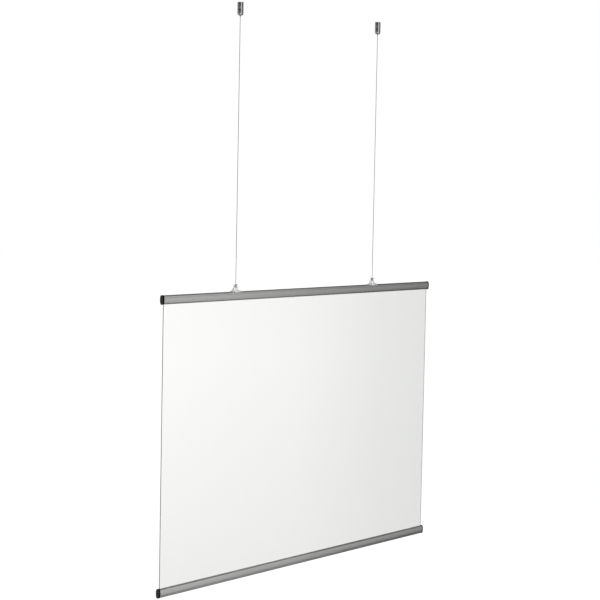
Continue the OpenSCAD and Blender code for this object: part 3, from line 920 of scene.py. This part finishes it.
class DIVIDER_OT_hangers(Operator):
    """Build the clear moulded hangers that stand on the top rail"""

    bl_idname = "divider.hangers"
    bl_label = "Clear hangers"

    def execute(self, context):
        r, h = settings().rail, settings().hanger
        section = RailSection(r)
        rise = BALL_Z - RAIL_TOP
        half, deep = r.depth / 2, h.column_d / 2
        plate = section.oval(-h.plate_t) & block(-half, half, -h.skirt, h.plate_t)
        plate -= section.oval(-h.gap)
        tee_low = section.channel_floor + h.tee_gap
        tee = section.oval(r.wall + h.tee_gap) & block(-half, half, tee_low, 0.0)
        neck, root = r.slot_w / 2 - h.tee_gap, h.plate_t * 0.6
        tee |= block(-neck, neck, tee_low, root)
        web_reach, web_top = h.tee_l / 2, rise - 0.35 * h.crown_r
        web_low, web_end = h.plate_t - OVER, h.plate_t + OVER
        web = drawn([(-web_reach, web_low), (web_reach, web_low), (web_reach, web_end),
                     (h.crown_r, web_top), (-h.crown_r, web_top), (-web_reach, web_end)])
        window_x, sill = (h.crown_r + web_reach) / 2, h.plate_t + 0.0009
        for x in (-window_x, window_x):
            web -= disc(x, sill + h.window / 2, h.window / 2, 48)
        crown = arc(0.0, rise, h.crown_r, 0.0, pi, 40)
        column = drawn([(-h.crown_r, root), (h.crown_r, root), *crown])
        # A shape drawn in X and Z: its own Y and Z are turned to stand across the rail
        across = Matrix.Rotation(radians(-90), 4, "Z")
        seat = BALL_RADIUS + 0.0001
        low = rise - h.keyhole_drop
        pocket = [(0.0, low - seat)]
        pocket += arc(0.0, low, seat, -tau / 4, 0.0, 24)[1:]
        pocket += arc(0.0, rise, seat, 0.0, tau / 4, 24)
        top = rise + h.crown_r + OVER
        flare = h.slit / 2 + (top - rise) * tan(h.mouth)
        front = -deep - OVER
        forward = moved(z=low) @ Matrix.Rotation(tau / 4, 4, "X")
        keyhole = turned([(0.0, 0.0), (h.keyhole / 2, 0.0), (h.keyhole / 2, -front),
                          (0.0, -front)], 0.0, 64, forward)
        slit = extruded(block(front, 0.0, low, top), -h.slit / 2, h.slit / 2)
        solid = extruded(plate, -h.foot_l / 2, h.foot_l / 2, 0.0002)
        solid = combined(
            solid, "UNION",
            extruded(tee, -h.tee_l / 2, h.tee_l / 2, 0.0002),
            extruded(web, -h.web_t / 2, h.web_t / 2, 0.0, across),
            extruded(column, -deep, deep, 0.0, across),
        )
        solid = combined(
            solid, "DIFFERENCE",
            turned(pocket, 0.0, 64),
            keyhole,
            slit,
            turned([(0.0, rise), (h.slit / 2, rise), (flare, top), (0.0, top)], 0.0, 64),
        )
        # Fine remeshing and smoothing round every edge, as a mould does
        solid = applied(
            solid,
            ("REMESH", {"mode": "VOXEL", "voxel_size": 0.6 * h.soft}),
            ("SMOOTH", {"factor": 0.5, "iterations": 10}),
            ("DECIMATE", {"ratio": 0.4}),
        )
        for side in SIDES:
            piece(f"clear_hanger_{side}", shaded(solid, at_cable(side, RAIL_TOP)),
                  "clear_hanger", "hangers", f"hanger_{side}")
        return {"FINISHED"}


def strand_tree():
    """A straight stranded cable up the Z axis: strands wound round a core."""
    tree = bpy.data.node_groups.new("stranded_cable", "GeometryNodeTree")
    tree.interface.new_socket("Geometry", in_out="OUTPUT", socket_type="NodeSocketGeometry")
    s = Shading(tree)

    def given(name, kind):
        tree.interface.new_socket(name, in_out="INPUT", socket_type="NodeSocket" + kind)
        return s.node("NodeGroupInput", output=name)

    length, diameter, lay = (given(name, "Float") for name in ("Length", "Diameter", "Lay"))
    strands, finish = given("Strands", "Int"), given("Finish", "Material")
    wound = diameter / 3.0
    helix = s.node("GeometryNodeCurveSpiral", {}, {
        "Resolution": 20, "Rotations": length / lay, "Height": length,
        "Start Radius": wound, "End Radius": wound})
    circle = s.node("GeometryNodeCurvePrimitiveCircle", {}, {
        "Resolution": 8, "Radius": diameter / 6.0})
    winding = s.node("GeometryNodeCurveToMesh", {}, {
        "Curve": helix, "Profile Curve": circle, "Fill Caps": True})
    points = s.node("GeometryNodeMeshLine", {}, {"Count": strands, "Offset": (0.0, 0.0, 0.0)})
    turn = s.node("GeometryNodeInputIndex") * tau / strands
    windings = s.node("GeometryNodeInstanceOnPoints", {}, {
        "Points": points, "Instance": winding,
        "Rotation": s.node("ShaderNodeCombineXYZ", {}, {"Z": turn})})
    top = s.node("ShaderNodeCombineXYZ", {}, {"Z": length})
    core = s.node("GeometryNodeCurveToMesh", {}, {
        "Curve": s.node("GeometryNodeCurvePrimitiveLine", {}, {"End": top}),
        "Profile Curve": circle, "Fill Caps": True})
    joined = s.node("GeometryNodeJoinGeometry", {}, {0: [windings, core]})
    real = s.node("GeometryNodeRealizeInstances", {}, {"Geometry": joined})
    smooth = s.node("GeometryNodeSetShadeSmooth", {}, {"Geometry": real})
    finished = s.node("GeometryNodeSetMaterial", {}, {"Geometry": smooth, "Material": finish})
    s.node("NodeGroupOutput", {}, {0: finished})
    return tree


def grown(tree, **values):
    """The plain mesh that a geometry tree makes from its named inputs."""
    given = {socket.identifier: values[socket.name] for socket in tree.interface.items_tree
             if socket.in_out == "INPUT"}
    return applied(bpy.data.meshes.new("bare"), ("NODES", {"node_group": tree, **given}))


class DIVIDER_OT_cables(Operator):
    """Build the two stranded cables, their cut tails and the balls on their lower ends"""

    bl_idname = "divider.cables"
    bl_label = "Cables"

    def execute(self, context):
        c, steps = settings().cable, 24
        tree = strand_tree()
        for side in SIDES:
            (low, high), (tail_low, tail_high) = (
                [corner.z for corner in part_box(f"{node}_{side}")]
                for node in ("cable", "cable_tail"))
            values = {"Diameter": c.diameter, "Lay": c.lay, "Strands": c.strands,
                      "Finish": finish_of("cable_steel")}
            tail = grown(tree, Length=tail_high - tail_low, **values)
            tail.transform(at_cable(side, tail_low))
            piece(f"cable_end_{side}", tail, "cable_steel", "clamp_balls",
                  f"cable_tail_{side}")
            turn = asin(min(1.0, c.shank_r / BALL_RADIUS))
            ball = arc(0.0, 0.0, BALL_RADIUS, -tau / 4, tau / 4 - turn, 40)
            neck = BALL_RADIUS + c.shank_l
            ball += [(c.shank_r, neck), (0.0, neck)]
            ball = turned([(abs(y), z) for y, z in ball], 0.0002, 72,
                          at_cable(side, BALL_Z))
            ball = piece(f"ball_end_{side}", shaded(ball), "dark_steel", "cable_balls",
                         f"cable_ball_{side}")
            cable = grown(tree, Length=high - low, **values)
            cable.transform(at_cable(side, low))
            cable = piece(f"steel_cable_{side}", cable, "cable_steel", f"{side}_cable",
                          f"cable_{side}")
            path = [(CABLE_X[side], 0.0, high + (low - high) * i / steps)
                    for i in range(steps + 1)]
            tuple(path[0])
        return {"FINISHED"}


# ---------------- ceiling fittings


class DIVIDER_OT_fittings(Operator):
    """Build the turned chrome ceiling fittings and finish the clamps inside them"""

    bl_idname = "divider.fittings"
    bl_label = "Ceiling fittings"

    def execute(self, context):
        f = settings().fitting
        outer, bevel = FITTING_RADIUS, f.bevel
        collar, nut, nose = -f.base_h, -f.base_h - f.collar_h, -FITTING_LENGTH
        clamp = nose + f.clamp_z
        socket = f.spigot_r + f.gap
        sink = f.sink_d / 2
        base = turned([
            (f.fixing_d / 2, -0.0), (f.fixing_d / 2, -f.floor_t + sink - f.fixing_d / 2),
            (sink, -f.floor_t), (socket, -f.floor_t), (socket, collar), (outer - bevel, collar),
            (outer, collar + bevel), (outer, -bevel), (outer - bevel, 0.0),
        ])
        top, low = collar + f.upper_spigot, nut - f.lower_spigot
        coupler = turned([
            (f.bore_r, top), (f.bore_r, low), (f.spigot_r - bevel, low),
            (f.spigot_r, low + bevel), (f.spigot_r, nut), (outer - bevel, nut),
            (outer, nut + bevel), (outer, collar - bevel), (outer - bevel, collar),
            (f.spigot_r, collar), (f.spigot_r, top - bevel), (f.spigot_r - bevel, top),
        ])
        half_w, half_h = f.hole_w / 2, f.hole_h / 2

        def drill(radius, z, straight=0.0):
            """A cutter for a hole from the side, with a softened rim."""
            rings = []
            for x, grow in ((0.0, 0.0), (outer - 0.0004, 0.0), (outer - 0.0002, 0.00005),
                            (outer, 0.0002), (outer + 0.0004, 0.0006)):
                ring = arc(0.0, z + straight, radius + grow, 0.0, pi, 24)
                ring += arc(0.0, z - straight, radius + grow, pi, tau, 24)
                rings.append([(x, *p) for p in ring])
            return lofted(rings)

        coupler = combined(coupler, "DIFFERENCE",
                           drill(half_w, collar - f.hole_drop, half_h - half_w))
        base = combined(base, "DIFFERENCE", drill(f.pin_hole_d / 2, -f.pin_hole_z))
        seat, mouth = f.clamp_r + f.gap, f.stem_r + f.gap
        slope = tan(f.lean)
        # Depth below the ball's centre at which the round seat meets the flared mouth
        a, b, q = 1 + slope ** 2, mouth * slope, mouth ** 2 - seat ** 2
        meet = (-b + sqrt(b * b - a * q)) / a
        profile = [(mouth + slope * f.clamp_z, nose)]
        profile += arc(outer - f.nose_r, nose + f.nose_r, f.nose_r, -tau / 4, 0.0, 20)
        profile += [(outer, nut - bevel), (outer - bevel, nut), (socket, nut),
                    (socket, low - 0.0002), (f.bore_r, low - 0.0002), (f.bore_r, clamp)]
        profile += arc(0.0, clamp, seat, 0.0, -atan2(meet, mouth + slope * meet), 20)
        ball_nut = turned(profile)
        for side, turn in (("left", f.left_turn), ("right", f.right_turn)):
            place = at_cable(side) @ Matrix.Rotation(-turn - tau / 4, 4, "Z")
            for name, solid, node in (("ceiling_cup", base, "ceiling_base"),
                                      ("side_hole_coupler", coupler, "coupler"),
                                      ("nose_nut", ball_nut, "ball_nut")):
                piece(f"{name}_{side}", shaded(solid, place), "chrome", "ceiling_fittings",
                      f"{node}_{side}")
            for node, finish in (("clamp_ball", "plain_steel"), ("clamp_stem", "plain_steel"),
                                 ("clamp_screw", "dark_steel")):
                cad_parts[f"{node}_{side}"].data.materials[0] = finish_of(finish)
        return {"FINISHED"}


# ---------------- sheet


class DIVIDER_OT_sheet(Operator):
    """Build the clear sheet with its polished edges"""

    bl_idname = "divider.sheet"
    bl_label = "Clear sheet"

    def execute(self, context):
        low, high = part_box("panel_sheet")
        edge = settings().sheet.round
        loop = softened(block(low.y, high.y, low.z, high.z).loops()[0], edge)
        middle, half = (low + high) / 2, (high - low) / 2

        def ring(x, inset):
            thin, short = 1 - inset / half.y, 1 - inset / half.z
            return [(x, y * thin, middle.z + (z - middle.z) * short) for y, z in loop]

        corner = rounding(edge, 4)
        sections = [ring(low.x + along, inset) for along, inset in corner[::-1]]
        sections += [ring(high.x - along, inset) for along, inset in corner]
        piece("clear_sheet", shaded(lofted(sections)), "clear_sheet", "panel", "panel_sheet")
        return {"FINISHED"}


# ---------------- studio

# What mirrors the room: the level by the turn from +X towards +Y, in degrees
ROUND_ABOUT = ((-180, 0.18), (-150, 0.17), (-126, 0.30), (-116, 0.95), (-86, 0.95), (-74, 0.25),
               (-56, 0.20), (-50, 1.90), (-44, 1.95), (-39.2, 1.27), (-36, 0.36), (-34, 0.24),
               (-10, 0.12), (40, 0.12), (80, 0.35), (105, 0.50), (125, 0.42), (140, 0.30),
               (155, 0.22), (180, 0.18))
# The share of that level by the rise of the mirrored ray
UPWARD = ((-1.0, 0.90), (-0.85, 0.85), (-0.7, 0.10), (-0.6, 0.10), (-0.35, 0.14), (-0.25, 0.34),
          (-0.2, 0.60), (-0.15, 0.80), (-0.1, 1.0), (0.0, 0.95), (0.05, 0.95), (0.12, 0.75),
          (0.2, 0.30), (0.35, 0.10), (0.7, 0.08), (0.85, 0.85), (1.0, 0.90))
# What else glows there, by its rise and by its turn: the pale ceiling and floor in front of
# the panel, the light wall behind it, and the light floor at its right
PATCHES = (
    (((-1.0, 0.08), (-0.7, 0.18), (-0.42, 0.18), (-0.3, 0.0), (0.18, 0.0), (0.30, 0.50),
      (0.52, 0.50), (0.66, 0.0)),
     ((-80, 0.0), (-62, 1.0), (-22, 1.0), (-12, 0.0))),
    (((-0.8, 0.0), (-0.65, 0.5), (-0.4, 1.1), (-0.1, 1.1), (0.02, 0.0)),
     ((25, 0.0), (48, 1.0), (155, 1.0), (175, 0.0))),
    (((-0.8, 0.0), (-0.65, 1.3), (-0.25, 1.3), (-0.1, 0.0)),
     ((-178, 0.0), (-165, 1.0), (-95, 1.0), (-75, 0.0))),
)
# The dark beam across the brightest light: middle and half width of its rise and of its turn,
# and how much of the light it takes
BEAM_RISE, BEAM_TURN, BEAM = (0.10, 0.03), (-44, 14), 0.85


class DIVIDER_OT_studio(Operator):
    """Set the camera, the pale floor, the soft lamp and the surroundings"""

    bl_idname = "divider.studio"
    bl_label = "Studio"

    def execute(self, context):
        scene, t = context.scene, settings().studio
        scene.view_settings.view_transform = "Standard"
        camera = shown("camera", bpy.data.cameras.new("camera"))
        camera.data.lens = t.lens
        camera.data.sensor_width = 36.0
        turns = ((-t.yaw, "Z"), (tau / 4 - t.pitch, "X"), (t.roll, "Z"))
        look = moved(t.aim_x, t.aim_z)
        for turn, axis in turns:
            look @= Matrix.Rotation(turn, 4, axis)
        camera.matrix_world = look @ moved(z=t.distance)
        scene.camera = camera

        lamp = shown("soft_lamp", bpy.data.lights.new("soft_lamp", "SUN"))
        lamp.data.energy = t.lamp
        lamp.data.angle = radians(60)
        lamp.visible_glossy = False
        lamp.rotation_euler = Vector((0.55, 0.75, -1.0)).to_track_quat("-Z", "Y").to_euler()

        bm = bmesh.new()
        bmesh.ops.create_grid(bm, x_segments=8, y_segments=8, size=30.0)
        bmesh.ops.translate(bm, verts=bm.verts, vec=(0.0, 0.0, -t.room_height))
        floor = shown("floor", bpy.data.meshes.new("floor"))
        bm.to_mesh(floor.data)
        bm.free()
        floor.visible_glossy = False
        floor.data.materials.append(self.floor_finish())
        self.surroundings(scene.world or bpy.data.worlds.new("studio"), t.fill)
        return {"FINISHED"}

    def floor_finish(self):
        """Pale and matt. Camera and transmission rays see most of it as plain white."""
        made = bpy.data.materials.new("pale_floor")
        s = Shading(made)
        grain = s.noise(3, 3, 3, detail=3)
        matt = s.node("ShaderNodeBsdfDiffuse", {}, {
            "Color": s.mix(grain, (0.30, 0.30, 0.30, 1.0), (0.31, 0.31, 0.31, 1.0))})
        glow = s.node("ShaderNodeEmission", {}, {
            "Strength": s.ray("Camera") * 0.76 + s.ray("Transmission") * 0.735})
        both = s.node("ShaderNodeAddShader", {}, {0: matt, 1: glow})
        s.node("ShaderNodeOutputMaterial", {"target": "ALL"}, {"Surface": both})
        return made

    def surroundings(self, world, fill):
        """White behind the panel; in reflections a strip of soft light and a dim ceiling."""
        bpy.context.scene.world = world
        world.cycles.sampling_method = "NONE"
        s = Shading(world)
        ray = s.node("ShaderNodeTexCoord", output="Generated")
        parts = [s.node("ShaderNodeSeparateXYZ", {}, {"Vector": ray}, k) for k in range(3)]
        rise, turn = parts[2], parts[1].sum("ARCTAN2", parts[0]) * degrees(1)

        def ramp(stops, whole, along):
            top = max(level for _, level in stops)
            grey = s.node("ShaderNodeValToRGB", {"stops": [
                (at / whole + 0.5, level / top) for at, level in stops]}, {
                    "Fac": along / whole + 0.5})
            return s.node("ShaderNodeSeparateColor", {}, {"Color": grey}) * top

        mirrored = s.ray("Glossy")
        white = (s.ray("Camera") + s.ray("Transmission")).clamped()
        beam = 1 - rise.sum("COMPARE", *BEAM_RISE) * turn.sum("COMPARE", *BEAM_TURN) * BEAM
        mirror = ramp(ROUND_ABOUT, 360, turn) * ramp(UPWARD, 2, rise) * beam
        for rises, turns in PATCHES:
            mirror = mirror + ramp(rises, 2, rise) * ramp(turns, 360, turn)
        level = white + (1 - white) * (mirrored * mirror + (1 - mirrored) * fill)
        glow = s.node("ShaderNodeBackground", {}, {"Color": (1.0, 1.0, 1.0, 1.0),
                                                   "Strength": level})
        s.node("ShaderNodeOutputWorld", {"target": "ALL"}, {"Surface": glow})


class DIVIDER_PT_build(Panel):
    """Lists what the divider panel is built from"""

    bl_idname = "DIVIDER_PT_build"
    bl_label = "Hanging Divider Panel"
    bl_space_type = "VIEW_3D"
    bl_region_type = "UI"
    bl_category = "Divider"

    def draw(self, context):
        for operator in OPERATORS:
            self.layout.operator(operator.bl_idname)
        for group in ("rail", "cap", "hanger", "fitting", "cable", "sheet", "finish", "studio"):
            box = self.layout.box()
            box.label(text=group.capitalize())
            values = getattr(context.scene.divider, group)
            for name in values.bl_rna.properties.keys():
                if name not in ("rna_type", "name"):
                    box.prop(values, name)


OPERATORS = (DIVIDER_OT_studio, DIVIDER_OT_fittings, DIVIDER_OT_cables, DIVIDER_OT_hangers,
             DIVIDER_OT_rails, DIVIDER_OT_end_caps, DIVIDER_OT_sheet)
GROUPS = (RailSettings, CapSettings, HangerSettings, FittingSettings, CableSettings,
          SheetSettings, FinishSettings, StudioSettings, DividerSettings)


def register():
    for kind in (*GROUPS, *OPERATORS, DIVIDER_PT_build):
        bpy.utils.register_class(kind)
    bpy.types.Scene.divider = PointerProperty(type=DividerSettings)


def unregister():
    del bpy.types.Scene.divider
    for kind in (DIVIDER_PT_build, *reversed(OPERATORS), *reversed(GROUPS)):
        bpy.utils.unregister_class(kind)


def main():
    register()
    bpy.ops.divider.studio()
    bpy.ops.divider.fittings()
    bpy.ops.divider.cables()
    bpy.ops.divider.hangers()
    bpy.ops.divider.rails()
    bpy.ops.divider.end_caps()
    bpy.ops.divider.sheet()


if __name__ == "__main__":
    main()
